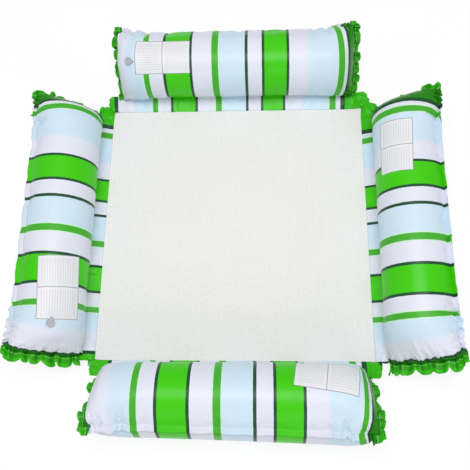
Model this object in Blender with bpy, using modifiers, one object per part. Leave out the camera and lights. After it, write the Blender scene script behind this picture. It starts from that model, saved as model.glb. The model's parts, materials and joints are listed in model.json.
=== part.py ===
"""Inflatable water hammock: a square mesh seat framed by four inflated film pillows.

Each pillow is two film sheets welded along both long seams and at both gathered ends.
It folds about its inner seam, where a film skirt ties it to the mesh. One push-in valve
with a plug and a check flap fills each pillow. Metres, +Z up, origin on the floor under
the middle of the mesh. The head pillow is at +Y and the left pillow at -X.
"""
import math

import bmesh
import bpy
from mathutils import Matrix, Vector

# Film and welds
FILM = 0.0004
WELD_GAP = 0.0003
FOLD_GAP = 0.0006
MITRE_GAP = 0.0008

# Mesh seat
MESH_SIDE = 0.594
MESH_THICKNESS = 0.0008
MESH_MARGIN = 0.008
MESH_REST_SIDE = 0.400
MESH_RING_SHARES = (0.5, 1.0)
MESH_RISE_SHARES = (0.5, 1.0)

# Film skirts between mesh and pillows
SKIRT_WIDTH = 0.0345
SKIRT_SLOPE_DEG = 20.0
LOWER_SKIRT_WIDTH = 0.014
SKIRT_BAYS = 6

# Pillows
PILLOW_RADIUS = 0.073
PILLOW_END_INSET = 0.007
PILLOW_ROLL_DEG = 44.0
END_DOME = 0.090
DOME_POWER = 2.6
END_FLARE = 0.005
FLAT_WIDTH = 0.017
END_MARGIN = 0.003
INNER_MARGIN = 0.003
LOWER_MARGIN = 0.0015
FLANGE_REACH = 0.012
FLANGE_DROOP = 0.002
VALVE_DOME_SHARE = 0.42
DOME_SHARES = (VALVE_DOME_SHARE, 0.68, 0.88, 1.0)
FLANGE_SHARES = ((0.5, 0.25), (1.0, 1.0))
UPPER_FACETS = 10
LOWER_INNER_FACETS = 3
LOWER_OUTER_FACETS = 7

# Gathered end frills
FRILL_WIDTH = 0.018
FRILL_SCALLOP = 0.003
FRILL_WAVE = 0.0045
FRILL_FLARE = 0.004
FRILL_TUCK = 0.005
FRILL_TUCK_SHARE = 0.14
FRILL_LOBES = 6
FRILL_STEP_COUNT = 24
FRILL_ROW_COUNT = 2

# Valves
VALVE_UPPER_ROW_COUNT = 4
VALVE_LOWER_ROW_COUNT = 4
BASE_RADIUS = 0.018
BASE_THICKNESS = 0.0008
BASE_DEPTH = 0.0030
COLLAR_RADIUS = 0.0076
COLLAR_PROUD = 0.0008
COLLAR_DEPTH = 0.0048
STEM_RADIUS = 0.0060
STEM_BORE_RADIUS = 0.0043
STEM_LENGTH = 0.0165
STEM_BEAD_RADIUS = 0.0066
STEM_BEAD_LENGTH = 0.0010
STEM_CLEARANCE = 0.0001
LIP_RADIUS = 0.0080
LIP_THICKNESS = 0.0012
PLUG_RADIUS = 0.0085
PLUG_THICKNESS = 0.0014
SPIGOT_CLEARANCE = 0.0003
SPIGOT_TAPER = 0.0008
SPIGOT_LENGTH = 0.0040
PIVOT_OFFSET = 0.0120
EAR_WIDTH = 0.0050
EAR_OVERLAP = 0.0020
FLAP_RADIUS = 0.0052
FLAP_THICKNESS = 0.0005
FLAP_PIVOT_OFFSET = 0.0054
TURNED_STEP_COUNT = 16

# Colours as red, green, blue
WHITE_FILM = (0.80, 0.82, 0.87)
BLUE_FILM = (0.62, 0.79, 0.90)
GREEN_FILM = (0.10, 0.46, 0.05)
MESH_WHITE = (0.84, 0.84, 0.82)
VALVE_CLEAR = (0.70, 0.72, 0.75)

# Worked-out places in the plane across a pillow, as outward distance and height
ROLL = math.radians(PILLOW_ROLL_DEG)
SLOPE = math.radians(SKIRT_SLOPE_DEG)
FLAT_HALF_ANGLE = math.asin(FLAT_WIDTH / 2 / PILLOW_RADIUS)
SHEET_OFFSET = WELD_GAP / 2 + FILM
SHEET_MIDDLE = WELD_GAP / 2 + FILM / 2
AXIS_FROM_FOLD = PILLOW_RADIUS + INNER_MARGIN + FOLD_GAP / 2
FLOOR_DROP = PILLOW_RADIUS * math.cos(FLAT_HALF_ANGLE) + (SHEET_OFFSET + SHEET_MIDDLE) * math.cos(ROLL)
FOLD_HEIGHT = FLOOR_DROP - AXIS_FROM_FOLD * math.sin(ROLL)
LAYER_PITCH = MESH_THICKNESS / 2 + WELD_GAP + FILM / 2
MESH_EDGE_U = MESH_SIDE / 2
MESH_EDGE_HEIGHT = FOLD_HEIGHT - SKIRT_WIDTH * math.sin(SLOPE) - LAYER_PITCH * math.cos(SLOPE)
FOLD_U = MESH_EDGE_U + SKIRT_WIDTH * math.cos(SLOPE) - LAYER_PITCH * math.sin(SLOPE)
HALF_LENGTH = MESH_SIDE / 2 - PILLOW_END_INSET
DOME_START = HALF_LENGTH - END_DOME
SIDES = {"head": 0.0, "left": 90.0, "foot": 180.0, "right": 270.0}
UPPER_VALVE_SIDES = ("head", "left")


def clear_scene():
    for old in list(bpy.data.objects):
        bpy.data.objects.remove(old, do_unlink=True)


def make_collection(name):
    group = bpy.data.collections.new(name)
    bpy.context.scene.collection.children.link(group)
    return group


def make_material(name, colour, roughness):
    material = bpy.data.materials.new(name)
    material.use_nodes = True
    shader = material.node_tree.nodes["Principled BSDF"]
    shader.inputs["Base Color"].default_value = (*colour, 1.0)
    shader.inputs["Roughness"].default_value = roughness
    shader.inputs["Metallic"].default_value = 0.0
    return material


def mesh_from(bm, name, smooth_angle=math.radians(40)):
    mesh = bpy.data.meshes.new(name)
    bm.to_mesh(mesh)
    bm.free()
    mesh.shade_smooth()
    mesh.set_sharp_from_angle(angle=smooth_angle)
    return mesh


def add_object(name, mesh, parent, material, group):
    item = bpy.data.objects.new(name, mesh)
    group.objects.link(item)
    item.parent = parent
    if material is not None:
        mesh.materials.clear()
        mesh.materials.append(material)
    return item


def add_empty(name, parent, matrix, group):
    empty = bpy.data.objects.new(name, None)
    empty.empty_display_size = PILLOW_RADIUS
    group.objects.link(empty)
    empty.parent = parent
    empty.matrix_local = matrix
    return empty


def solidify(item, thickness, offset):
    shell = item.modifiers.new("film", "SOLIDIFY")
    shell.thickness = thickness
    shell.offset = offset
    shell.use_even_offset = True


def shaped_grid(columns, rows, place, flip=False):
    """A grid of columns by rows whose corner (i, j) goes to place(i, j)."""
    bm = bmesh.new()
    bmesh.ops.create_grid(bm, x_segments=columns, y_segments=rows, size=1.0)
    for corner in bm.verts:
        i = round((corner.co.x + 1) / 2 * columns)
        j = round((corner.co.y + 1) / 2 * rows)
        corner.co = place(i, j)
    if flip:
        bmesh.ops.reverse_faces(bm, faces=bm.faces)
    return bm


def turned(profile, name, steps=TURNED_STEP_COUNT):
    """A closed ring profile, as radius and height, turned about the local Z axis."""
    bm = bmesh.new()
    for k in range(steps):
        angle = math.tau * k / steps
        for radius, height in profile:
            bm.verts.new((radius * math.cos(angle), radius * math.sin(angle), height))
    bm.verts.ensure_lookup_table()
    count = len(profile)
    for k in range(steps):
        here = k * count
        there = (k + 1) % steps * count
        for m in range(count):
            n = (m + 1) % count
            ring = [bm.verts[here + m], bm.verts[there + m], bm.verts[there + n], bm.verts[here + n]]
            bm.faces.new(ring)
    bmesh.ops.recalc_face_normals(bm, faces=bm.faces)
    return mesh_from(bm, name)


# Pillow surface

def dome_height(along):
    """Half thickness of the pillow across its seam plane, at a place along it."""
    share = min(1.0, max(0.0, (abs(along) - DOME_START) / END_DOME))
    return PILLOW_RADIUS * math.sqrt(1.0 - share ** DOME_POWER)


def end_flare(along):
    """How far the outer seam swings out towards the pillow's ends."""
    share = min(1.0, max(0.0, (abs(along) - DOME_START) / END_DOME))
    return END_FLARE * share * share


def section_point(along, angle, rise, below=False):
    """A point of the skin; angle 0 is the outer seam and pi the inner, negative below."""
    half_width = PILLOW_RADIUS + end_flare(along) / 2
    across = AXIS_FROM_FOLD + end_flare(along) / 2 + half_width * math.cos(angle)
    height = dome_height(along) * math.sin(angle) + (-rise if below else rise)
    return tilted(along, across, height)


def tilted(along, across, height):
    """Turns distances across and above the weld into the pillow's own frame.

    The frame's origin is the fold line, level with the middle of the upper sheet.
    """
    lift = height - SHEET_MIDDLE
    out = across * math.cos(ROLL) - lift * math.sin(ROLL)
    up = across * math.sin(ROLL) + lift * math.cos(ROLL)
    return Vector((along, out, up))


def stations():
    half = [DOME_START]
    half += [DOME_START + END_DOME * share for share in DOME_SHARES]
    half.append(HALF_LENGTH + END_MARGIN)
    return [-s for s in reversed(half)] + half


def upper_angles():
    return [math.pi * k / UPPER_FACETS for k in range(UPPER_FACETS + 1)]


def lower_angles():
    """Section angles from the outer seam down to the inner, with a level facet at the floor."""
    floor_angle = -math.pi / 2 - ROLL
    outer_end = floor_angle + FLAT_HALF_ANGLE
    inner_end = floor_angle - FLAT_HALF_ANGLE
    outer = [outer_end * k / LOWER_OUTER_FACETS for k in range(LOWER_OUTER_FACETS + 1)]
    reach = -math.pi - inner_end
    inner = [inner_end + reach * k / LOWER_INNER_FACETS for k in range(LOWER_INNER_FACETS + 1)]
    return outer + inner


def upper_row_point(along, row, angles):
    """Rows run from the flange's edge, over the pillow, to the fold."""
    flange_rows = len(FLANGE_SHARES)
    if row < flange_rows:
        out_share, droop_share = FLANGE_SHARES[flange_rows - 1 - row]
        across = AXIS_FROM_FOLD + PILLOW_RADIUS + end_flare(along) + FLANGE_REACH * out_share
        return tilted(along, across, SHEET_OFFSET - FLANGE_DROOP * droop_share)
    if row < flange_rows + len(angles):
        return section_point(along, angles[row - flange_rows], SHEET_OFFSET)
    return tilted(along, FOLD_GAP / 2, SHEET_OFFSET)


def upper_skin_mesh(name):
    along = stations()
    angles = upper_angles()
    rows = len(FLANGE_SHARES) + len(angles)

    def place(i, j):
        return upper_row_point(along[i], j, angles)

    return mesh_from(shaped_grid(len(along) - 1, rows, place, flip=True), name)


def lower_skin_mesh(name):
    along = stations()
    angles = lower_angles()
    rows = len(angles) + 1

    def place(i, j):
        if j == 0:
            across = AXIS_FROM_FOLD + PILLOW_RADIUS + end_flare(along[i]) + LOWER_MARGIN
            return tilted(along[i], across, -SHEET_OFFSET)
        if j == rows:
            across = AXIS_FROM_FOLD - PILLOW_RADIUS - LOWER_MARGIN
            return tilted(along[i], across, -SHEET_OFFSET)
        return section_point(along[i], angles[j - 1], SHEET_OFFSET, below=True)

    return mesh_from(shaped_grid(len(along) - 1, rows, place), name)


# Gathered end frill

def frill_mesh(name, end):
    inner = AXIS_FROM_FOLD - PILLOW_RADIUS
    outer = AXIS_FROM_FOLD + PILLOW_RADIUS + END_FLARE
    start = HALF_LENGTH + END_MARGIN + WELD_GAP

    def place(i, j):
        share = i / FRILL_STEP_COUNT
        out_share = j / FRILL_ROW_COUNT
        wave = math.sin(math.tau * FRILL_LOBES * share)
        tuck = max(0.0, 1.0 - share / FRILL_TUCK_SHARE)
        reach = FRILL_WIDTH - FRILL_SCALLOP * (1.0 - abs(wave)) - FRILL_TUCK * tuck
        across = inner + (outer - inner + FRILL_FLARE * out_share) * share
        height = FRILL_WAVE * wave * out_share
        return tilted(end * (start + reach * out_share), across, height)

    return mesh_from(shaped_grid(FRILL_STEP_COUNT, FRILL_ROW_COUNT, place, flip=end > 0), name)


# Skirts and mesh

def skirt_line(distance, layer):
    """Outward distance and height on a skirt layer; 1 is above the mesh and -1 below."""
    out = MESH_EDGE_U + distance * math.cos(SLOPE) - layer * LAYER_PITCH * math.sin(SLOPE)
    up = MESH_EDGE_HEIGHT + distance * math.sin(SLOPE) + layer * LAYER_PITCH * math.cos(SLOPE)
    return out, up


def skirt_mesh(name, width, layer):
    def place(i, j):
        out, up = skirt_line(width * j, layer)
        along = (out - MITRE_GAP) * (2 * i / SKIRT_BAYS - 1)
        return Vector((along, out, up))

    return mesh_from(shaped_grid(SKIRT_BAYS, 1, place), name)


def mesh_rings():
    """Outward distance and height of the mesh's middle surface, ring by ring."""
    rest = MESH_REST_SIDE / 2
    rings = [(0.0, MESH_THICKNESS / 2)]
    rings += [(rest * share, MESH_THICKNESS / 2) for share in MESH_RING_SHARES]
    rise = MESH_EDGE_HEIGHT - MESH_THICKNESS / 2
    for share in MESH_RISE_SHARES:
        out = rest + (MESH_EDGE_U - rest) * share
        rings.append((out, MESH_THICKNESS / 2 + rise * share * share))
    rings.append(skirt_line(MESH_MARGIN, 0))
    return rings


def mesh_panel_mesh(name):
    rings = mesh_rings()
    half = len(rings) - 1

    def place(i, j):
        across = i - half
        along = j - half
        height = rings[max(abs(across), abs(along))][1]
        x = math.copysign(rings[abs(across)][0], across)
        y = math.copysign(rings[abs(along)][0], along)
        return Vector((x, y, height))

    bm = shaped_grid(2 * half, 2 * half, place)
    crease_diagonals(bm)
    return mesh_from(bm, name)


def crease_diagonals(bm):
    """Splits the panel's corner quads along the diagonal, where the mesh bends two ways."""
    for face in list(bm.faces):
        ends = [v for v in face.verts if abs(abs(v.co.x) - abs(v.co.y)) < WELD_GAP]
        if len(ends) == 2:
            bmesh.utils.face_split(face, ends[0], ends[1])


# Valve pieces, with the local Z axis out of the skin and 0 on its surface

def dish(radius):
    """How far the pillow's surface falls away at a radius from the valve's axis."""
    return radius * radius / (2 * PILLOW_RADIUS)


def valve_base_mesh(name):
    bore = STEM_RADIUS + STEM_CLEARANCE
    neck = COLLAR_RADIUS
    middle = (neck + BASE_RADIUS) / 2
    profile = [
        (bore, COLLAR_PROUD),
        (neck, COLLAR_PROUD),
        (neck, -BASE_DEPTH - dish(neck)),
        (middle, -BASE_DEPTH - dish(middle)),
        (BASE_RADIUS, -BASE_DEPTH - dish(BASE_RADIUS)),
        (BASE_RADIUS, -BASE_DEPTH - dish(BASE_RADIUS) - BASE_THICKNESS),
        (middle, -BASE_DEPTH - dish(middle) - BASE_THICKNESS),
        (neck, -BASE_DEPTH - dish(neck) - BASE_THICKNESS),
        (neck, -COLLAR_DEPTH),
        (bore, -COLLAR_DEPTH),
    ]
    return turned(profile, name)


def lip_bottom():
    return COLLAR_PROUD + WELD_GAP


def lip_top():
    return lip_bottom() + LIP_THICKNESS


def stem_bottom():
    return lip_bottom() - STEM_LENGTH


def ear_box(low, high, far):
    """A strap ear from inside the round head out to the pivot, as a closed box."""
    near = LIP_RADIUS - EAR_OVERLAP
    bm = bmesh.new()
    bmesh.ops.create_cube(bm, size=1.0)
    bmesh.ops.scale(bm, vec=(far - near, EAR_WIDTH, high - low), verts=bm.verts)
    bmesh.ops.translate(bm, vec=((far + near) / 2, 0.0, (high + low) / 2), verts=bm.verts)
    return bm


def fuse(item, bm, name, cutters):
    """Unions a helper solid into an item."""
    helper = bpy.data.objects.new(name, mesh_from(bm, name))
    cutters.objects.link(helper)
    helper.parent = item
    helper.hide_render = True
    helper.display_type = "WIRE"
    union = item.modifiers.new("strap", "BOOLEAN")
    union.operation = "UNION"
    union.object = helper


def valve_stem_mesh(name):
    bottom = stem_bottom()
    bead_top = bottom + STEM_BEAD_LENGTH
    profile = [
        (STEM_BORE_RADIUS, lip_top()),
        (LIP_RADIUS, lip_top()),
        (LIP_RADIUS, lip_bottom()),
        (STEM_RADIUS, lip_bottom()),
        (STEM_RADIUS, bead_top),
        (STEM_BEAD_RADIUS, bead_top),
        (STEM_BEAD_RADIUS, bottom),
        (STEM_BORE_RADIUS, bottom),
    ]
    return turned(profile, name)


def capped(profile, name):
    """A solid turned piece: a stack of rings closed by a flat face at each end."""
    bm = bmesh.new()
    rings = []
    for radius, height in profile:
        at = Matrix.Translation((0.0, 0.0, height))
        made = bmesh.ops.create_circle(bm, segments=TURNED_STEP_COUNT, radius=radius, matrix=at)
        rings.append(made["verts"])
    for low, high in zip(rings, rings[1:]):
        for k in range(TURNED_STEP_COUNT):
            n = (k + 1) % TURNED_STEP_COUNT
            bm.faces.new((low[k], low[n], high[n], high[k]))
    bm.faces.new(rings[0])
    bm.faces.new(rings[-1])
    bmesh.ops.recalc_face_normals(bm, faces=bm.faces)
    return mesh_from(bm, name)


def valve_plug_mesh(name):
    head = lip_top() + WELD_GAP
    spigot = STEM_BORE_RADIUS - SPIGOT_CLEARANCE
    profile = [
        (spigot - SPIGOT_TAPER, head - SPIGOT_LENGTH),
        (spigot, head),
        (PLUG_RADIUS, head),
        (PLUG_RADIUS, head + PLUG_THICKNESS),
    ]
    return capped(profile, name)


def check_flap_mesh(name):
    top = stem_bottom() - WELD_GAP
    return capped([(FLAP_RADIUS, top - FLAP_THICKNESS), (FLAP_RADIUS, top)], name)


def valve_frame(upper):
    """Where a valve sits on its skin: its Z axis out of the surface, X towards the middle."""
    along = -(DOME_START + END_DOME * VALVE_DOME_SHARE)
    angle = upper_angles()[VALVE_UPPER_ROW_COUNT] if upper else lower_angles()[VALVE_LOWER_ROW_COUNT]
    step = FILM
    turn = step / PILLOW_RADIUS

    def skin(along_by, angle_by):
        return section_point(along + along_by, angle + angle_by, SHEET_OFFSET, below=not upper)

    middle = skin(0.0, 0.0)
    run = skin(step, 0.0) - skin(-step, 0.0)
    cross = skin(0.0, turn) - skin(0.0, -turn)
    outward = run.cross(cross).normalized()
    if outward.dot(middle - tilted(along, AXIS_FROM_FOLD, 0.0)) < 0:
        outward.negate()
    x_axis = run.normalized()
    y_axis = outward.cross(x_axis)
    frame = Matrix((x_axis, y_axis, outward)).transposed().to_4x4()
    frame.translation = middle
    return frame


def cut_valve_hole(skin, frame, cutters, name):
    depth = BASE_DEPTH + BASE_THICKNESS
    bm = bmesh.new()
    radius = COLLAR_RADIUS + WELD_GAP
    bmesh.ops.create_cone(
        bm, cap_ends=True, segments=TURNED_STEP_COUNT, radius1=radius, radius2=radius, depth=2 * depth
    )
    drill = bpy.data.objects.new(name, mesh_from(bm, name))
    cutters.objects.link(drill)
    drill.parent = skin.parent
    drill.matrix_local = frame
    drill.hide_render = True
    drill.display_type = "WIRE"
    cut = skin.modifiers.new("valve hole", "BOOLEAN")
    cut.operation = "DIFFERENCE"
    cut.object = drill


# Assembly

def build_valve(side, fold, upper, looks, parts, cutters):
    frame = valve_frame(upper)
    seat = add_empty(side + "_valve_axis", fold, frame, parts)
    base = valve_base_mesh(side + "_valve_base")
    add_object(side + "_valve_base", base, seat, looks["valve"], parts)
    stem_mesh = valve_stem_mesh(side + "_valve_stem")
    stem = add_object(side + "_valve_stem", stem_mesh, seat, looks["valve"], parts)
    stem_ear = ear_box(lip_bottom(), lip_top(), PIVOT_OFFSET)
    fuse(stem, stem_ear, side + "_stem_ear", cutters)
    strap_pivot = Vector((PIVOT_OFFSET, 0.0, lip_top() + WELD_GAP / 2))
    strap = add_empty(side + "_strap_axis", seat, Matrix.Translation(strap_pivot), parts)
    plug_mesh = valve_plug_mesh(side + "_valve_plug")
    plug = add_object(side + "_valve_plug", plug_mesh, strap, looks["valve"], parts)
    plug.matrix_local = Matrix.Translation(-strap_pivot)
    head = lip_top() + WELD_GAP
    plug_ear = ear_box(head, head + PLUG_THICKNESS, PIVOT_OFFSET)
    fuse(plug, plug_ear, side + "_plug_ear", cutters)
    flap_pivot = Vector((FLAP_PIVOT_OFFSET, 0.0, stem_bottom() - WELD_GAP / 2))
    hinge = add_empty(side + "_flap_axis", seat, Matrix.Translation(flap_pivot), parts)
    flap_mesh = check_flap_mesh(side + "_check_flap")
    flap = add_object(side + "_check_flap", flap_mesh, hinge, looks["valve"], parts)
    flap.matrix_local = Matrix.Translation(-flap_pivot)
    return frame


def build_pillow(side, looks, parts, cutters):
    upper_valve = side in UPPER_VALVE_SIDES
    turn = Matrix.Rotation(math.radians(SIDES[side]), 4, "Z")
    place = turn @ Matrix.Translation((0.0, FOLD_U, FOLD_HEIGHT))
    fold = add_empty(side + "_fold_axis", None, place, parts)
    upper_mesh = upper_skin_mesh(side + "_upper_skin")
    upper = add_object(side + "_upper_skin", upper_mesh, fold, looks["white"], parts)
    solidify(upper, FILM, -1.0)
    lower_mesh = lower_skin_mesh(side + "_lower_skin")
    lower = add_object(side + "_lower_skin", lower_mesh, fold, looks["blue"], parts)
    solidify(lower, FILM, -1.0)
    for label, end in (("start", -1), ("end", 1)):
        name = side + "_frill_" + label
        frill = add_object(name, frill_mesh(name, end), fold, looks["green"], parts)
        solidify(frill, 2 * FILM, 0.0)
    frame = build_valve(side, fold, upper_valve, looks, parts, cutters)
    holed = upper if upper_valve else lower
    cut_valve_hole(holed, frame, cutters, side + "_valve_drill")


def build_seat(looks, parts):
    panel = add_object("mesh_panel", mesh_panel_mesh("mesh_panel"), None, looks["mesh"], parts)
    solidify(panel, MESH_THICKNESS, 0.0)
    fold_end = SKIRT_WIDTH - FOLD_GAP / 2
    for side, degrees in SIDES.items():
        turn = Matrix.Rotation(math.radians(degrees), 4, "Z")
        for label, width, layer in (("upper", fold_end, 1), ("lower", LOWER_SKIRT_WIDTH, -1)):
            name = side + "_" + label + "_skirt"
            skirt = add_object(name, skirt_mesh(name, width, layer), None, looks["green"], parts)
            skirt.matrix_world = turn
            solidify(skirt, FILM, 0.0)


def main():
    clear_scene()
    parts = make_collection("water_hammock")
    cutters = make_collection("cutters")
    looks = {
        "white": make_material("white_film", WHITE_FILM, 0.30),
        "blue": make_material("blue_film", BLUE_FILM, 0.30),
        "green": make_material("green_film", GREEN_FILM, 0.30),
        "mesh": make_material("mesh_cloth", MESH_WHITE, 0.85),
        "valve": make_material("valve_plastic", VALVE_CLEAR, 0.35),
    }
    build_seat(looks, parts)
    for side in SIDES:
        build_pillow(side, looks, parts, cutters)


main()
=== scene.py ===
import json
import math

import bpy
import numpy as np
from mathutils import Matrix, Vector


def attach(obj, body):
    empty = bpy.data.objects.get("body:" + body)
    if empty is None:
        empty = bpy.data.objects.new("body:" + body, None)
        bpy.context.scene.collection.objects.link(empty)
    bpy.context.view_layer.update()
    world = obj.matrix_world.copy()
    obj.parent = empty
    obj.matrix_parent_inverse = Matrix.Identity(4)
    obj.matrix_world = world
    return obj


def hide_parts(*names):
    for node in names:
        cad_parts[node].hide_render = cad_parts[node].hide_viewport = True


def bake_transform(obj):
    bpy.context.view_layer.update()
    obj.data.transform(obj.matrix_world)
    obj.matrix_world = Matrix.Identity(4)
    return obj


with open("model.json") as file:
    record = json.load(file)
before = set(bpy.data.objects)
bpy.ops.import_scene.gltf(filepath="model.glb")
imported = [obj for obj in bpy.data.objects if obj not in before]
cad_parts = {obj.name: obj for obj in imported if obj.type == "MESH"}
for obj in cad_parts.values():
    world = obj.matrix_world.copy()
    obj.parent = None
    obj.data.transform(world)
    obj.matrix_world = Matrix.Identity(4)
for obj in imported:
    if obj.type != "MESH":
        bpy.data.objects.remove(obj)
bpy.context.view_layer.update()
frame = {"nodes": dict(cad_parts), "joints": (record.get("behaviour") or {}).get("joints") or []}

# Sizes in metres, the same as the solids have
FILM = 0.0004
WELD_GAP = 0.0003
FOLD_GAP = 0.0006
MITRE_GAP = 0.0008
MESH_HALF = 0.297
MESH_THICKNESS = 0.0008
MESH_MARGIN = 0.008
MESH_REST = 0.200
SKIRT_WIDTH = 0.0345
INNER_MARGIN = 0.003
UNDER_SKIRT_WIDTH = 0.014
SLOPE = math.radians(20.0)
LAYER_PITCH = MESH_THICKNESS / 2 + WELD_GAP + FILM / 2
RADIUS = 0.073
ROLL = math.radians(44.0)
HALF_LENGTH = 0.290
END_DOME = 0.090
DOME_POWER = 2.6
TUBE_HALF = HALF_LENGTH - END_DOME
SHEET_MIDDLE = WELD_GAP / 2 + FILM / 2
AXIS_FROM_FOLD = RADIUS + INNER_MARGIN + FOLD_GAP / 2
PIVOT_OFFSET = 0.012
LIP_TOP = 0.0023
LIP_BOTTOM = 0.0011
STEM_BOTTOM = -0.0154
SIDES = {"head": 0.0, "left": 90.0, "foot": 180.0, "right": 270.0}
JOINTS = {j["name"]: j for j in frame["joints"]}
FOLD_U = JOINTS["head_pillow_fold"]["pos_m"][1]
FOLD_HEIGHT = JOINTS["head_pillow_fold"]["pos_m"][2]

# Flat film of one pillow: its width, and its half length measured over the domed end
FLAT_WIDTH = math.pi * RADIUS
CROWN_SAMPLES = 4000
CROWN_ALONG = np.linspace(0, HALF_LENGTH, CROWN_SAMPLES)
CROWN_SHARE = np.clip((CROWN_ALONG - TUBE_HALF) / END_DOME, 0, 1)
CROWN_HEIGHT = RADIUS * np.sqrt(np.maximum(0, 1 - CROWN_SHARE ** DOME_POWER))
CROWN_STEPS = np.hypot(np.diff(CROWN_ALONG), np.diff(CROWN_HEIGHT))
CROWN_PATH = np.concatenate([[0], np.cumsum(CROWN_STEPS)])
FLAT_HALF = CROWN_PATH[-1]

# Colours of the print, and greens with painted shade for the ends
WHITE = (0.815, 0.835, 0.945)
BLUE = (0.67, 0.83, 0.96)
GREEN = (0.062, 0.64, 0.005)
THIN_GREEN = (0.07, 0.46, 0.035)
MINT = (0.62, 0.95, 0.62)
DARK = (0.018, 0.085, 0.035)
END_GREEN = (0.045, 0.54, 0.006)
# Green darkened as painted shade, for the steep end wall and the frill's root at the weld
WALL_SHADE_GREEN = (0.020, 0.26, 0.006)
WELD_GREEN = (0.12, 0.66, 0.06)
# Green with lighter painted shade, on the frill between its weld line and its own green
FRILL_SHADE_GREEN = (0.030, 0.38, 0.006)

# Stripes from one end of the flat film to the other: where each colour starts, where None is the
# wash of white and blue below the stripes
BANDS = (
    (-0.2078, MINT), (-0.2058, THIN_GREEN), (-0.1935, MINT), (-0.1915, None),
    (-0.1611, DARK), (-0.1551, GREEN), (-0.1005, DARK), (-0.0943, None),
    (-0.0519, MINT), (-0.0499, THIN_GREEN), (-0.0353, MINT), (-0.0333, None),
    (0.0248, DARK), (0.0314, None), (0.0629, DARK), (0.0688, GREEN), (0.1186, DARK), (0.1242, None),
    (0.2332, MINT), (0.2352, THIN_GREEN), (0.2504, MINT), (0.2524, None),
    # From the end's dark line outward: deeper painted shade on the end wall and the frill's root, the weld
    # line, lighter painted shade on the frill, then the frill's own green
    (0.2625, DARK), (0.2735, WALL_SHADE_GREEN), (0.3555, WELD_GREEN), (0.3568, FRILL_SHADE_GREEN),
    (0.3640, END_GREEN),
)
WASHES = (
    (-0.258, WHITE), (-0.240, BLUE), (-0.200, BLUE), (-0.199, WHITE), (-0.043, WHITE), (-0.042, BLUE),
    (0.028, BLUE), (0.029, WHITE), (0.162, WHITE), (0.172, BLUE), (0.243, BLUE), (0.244, WHITE),
)
WASH_HALF = 0.400

# Where the greens of the start end begin: the frill's root, painted in lighter shade, its weld line, and the
# end wall, painted in deeper shade
START_FRILL = -0.3640
START_WELD = -0.3568
START_WALL = -0.3555

# Where the lower sheet's print lies across, clear of the upper sheet's
LOWER_SHEET_V = -1.0

# Pillows whose print runs the same way as their length
FORWARD_SIDES = ("head", "left")

# How far each pillow's print was cut off centre, where its end seams lie along it, and how much
# of its film is left outside the white at that end, a dark line first
PRINT_SHIFTS = {"head": 0.0, "left": 0.002, "foot": 0.019, "right": -0.021}
END_SEAMS = {
    "head": (0.271, 0.273), "left": (0.290, 0.278),
    "foot": (0.275, 0.273), "right": (0.276, 0.302),
}
WHITE_MARGINS = {"head": 0.010, "left": 0.014, "foot": 0.016, "right": 0.014}
END_LINE = 0.008
SKIRT_FIRST_LINE = -0.292

# How far each pillow rolls in over its skirt, and how much it lies out and askew
LEANS = {
    "head": (0.0, 0.0, 0.0), "left": (0.0, 0.0, 0.0),
    "foot": (0.0065, 0.002, 0.0275), "right": (0.0, 0.0, 0.0),
}

# Label panels: middle along the print and across it, length, width and turn in degrees
LABELS = {
    "head": (-0.1615, 0.0799, 0.125, 0.0775, 0.0),
    "left": (-0.1668, 0.0989, 0.1315, 0.0878, -4.8),
    "right": (0.1611, 0.1034, 0.119, 0.0747, -3.0),
    "foot": (0.1657, 0.1078, 0.1235, 0.069, -8.0),
}


# Places

WOBBLE_HEIGHTS = (0.6, 1.2)


def smooth(value):
    """A share from 0 to 1 that starts and stops gently."""
    value = np.clip(value, 0, 1)
    return value * value * (3 - 2 * value)


def tilted(points, side):
    """Turns pillow places (along, across from the fold, above the weld) into the frame."""
    points = np.asarray(points, float)
    lift = points[..., 2] - SHEET_MIDDLE
    out = FOLD_U + points[..., 1] * math.cos(ROLL) - lift * math.sin(ROLL)
    up = FOLD_HEIGHT + points[..., 1] * math.sin(ROLL) + lift * math.cos(ROLL)
    return turned(np.stack([points[..., 0], out, up], -1), side)


def turned(points, side):
    """Turns places on the head side to another side, by whole quarter turns."""
    angle = math.radians(SIDES[side])
    c, s = round(math.cos(angle)), round(math.sin(angle))
    x = c * points[..., 0] - s * points[..., 1]
    y = s * points[..., 0] + c * points[..., 1]
    return np.stack([x, y, points[..., 2]], -1)


def wobble(places, period, seed, spread=0.35):
    """An irregular wave along a line and its phase, with half periods about the one given.

    What a caller adds to its seed only keeps one wave from repeating another.
    """
    random = np.random.default_rng(seed)
    length = places.max() - places.min()
    count = int(np.ceil(length / period)) + 2
    gaps = period * (1 + spread * random.uniform(-1, 1, count * 2))
    marks = np.concatenate([[0], np.cumsum(gaps)])
    marks *= length / marks[count]
    heights = random.uniform(*WOBBLE_HEIGHTS, count * 2 + 1)
    phase = np.interp(places - places.min(), marks, np.arange(len(marks)) * math.pi)
    return np.interp(places - places.min(), marks, heights) * np.sin(phase), phase


# Meshes

def plain_mesh(name, points, faces):
    mesh = bpy.data.meshes.new(name)
    mesh.from_pydata(points, [], faces)
    mesh.update()
    return mesh


def add_object(name, data):
    item = bpy.data.objects.new(name, data)
    bpy.context.scene.collection.objects.link(item)
    return item


def quad_corners(grid, flipped=False):
    """The values at the four corners of each cell of a grid."""
    corners = [grid[:-1, :-1], grid[1:, :-1], grid[1:, 1:], grid[:-1, 1:]]
    if flipped:
        corners = corners[::-1]
    return np.stack(corners, 2).reshape(-1, 4, *grid.shape[2:])


def grid_object(name, grid, uv, body):
    """A sheet from a grid of places, with its flat place in each corner's UV."""
    rows, columns = grid.shape[:2]
    index = np.arange(rows * columns).reshape(rows, columns)
    return mesh_object(name, grid.reshape(-1, 3), quad_corners(index), quad_corners(uv), body)


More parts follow.
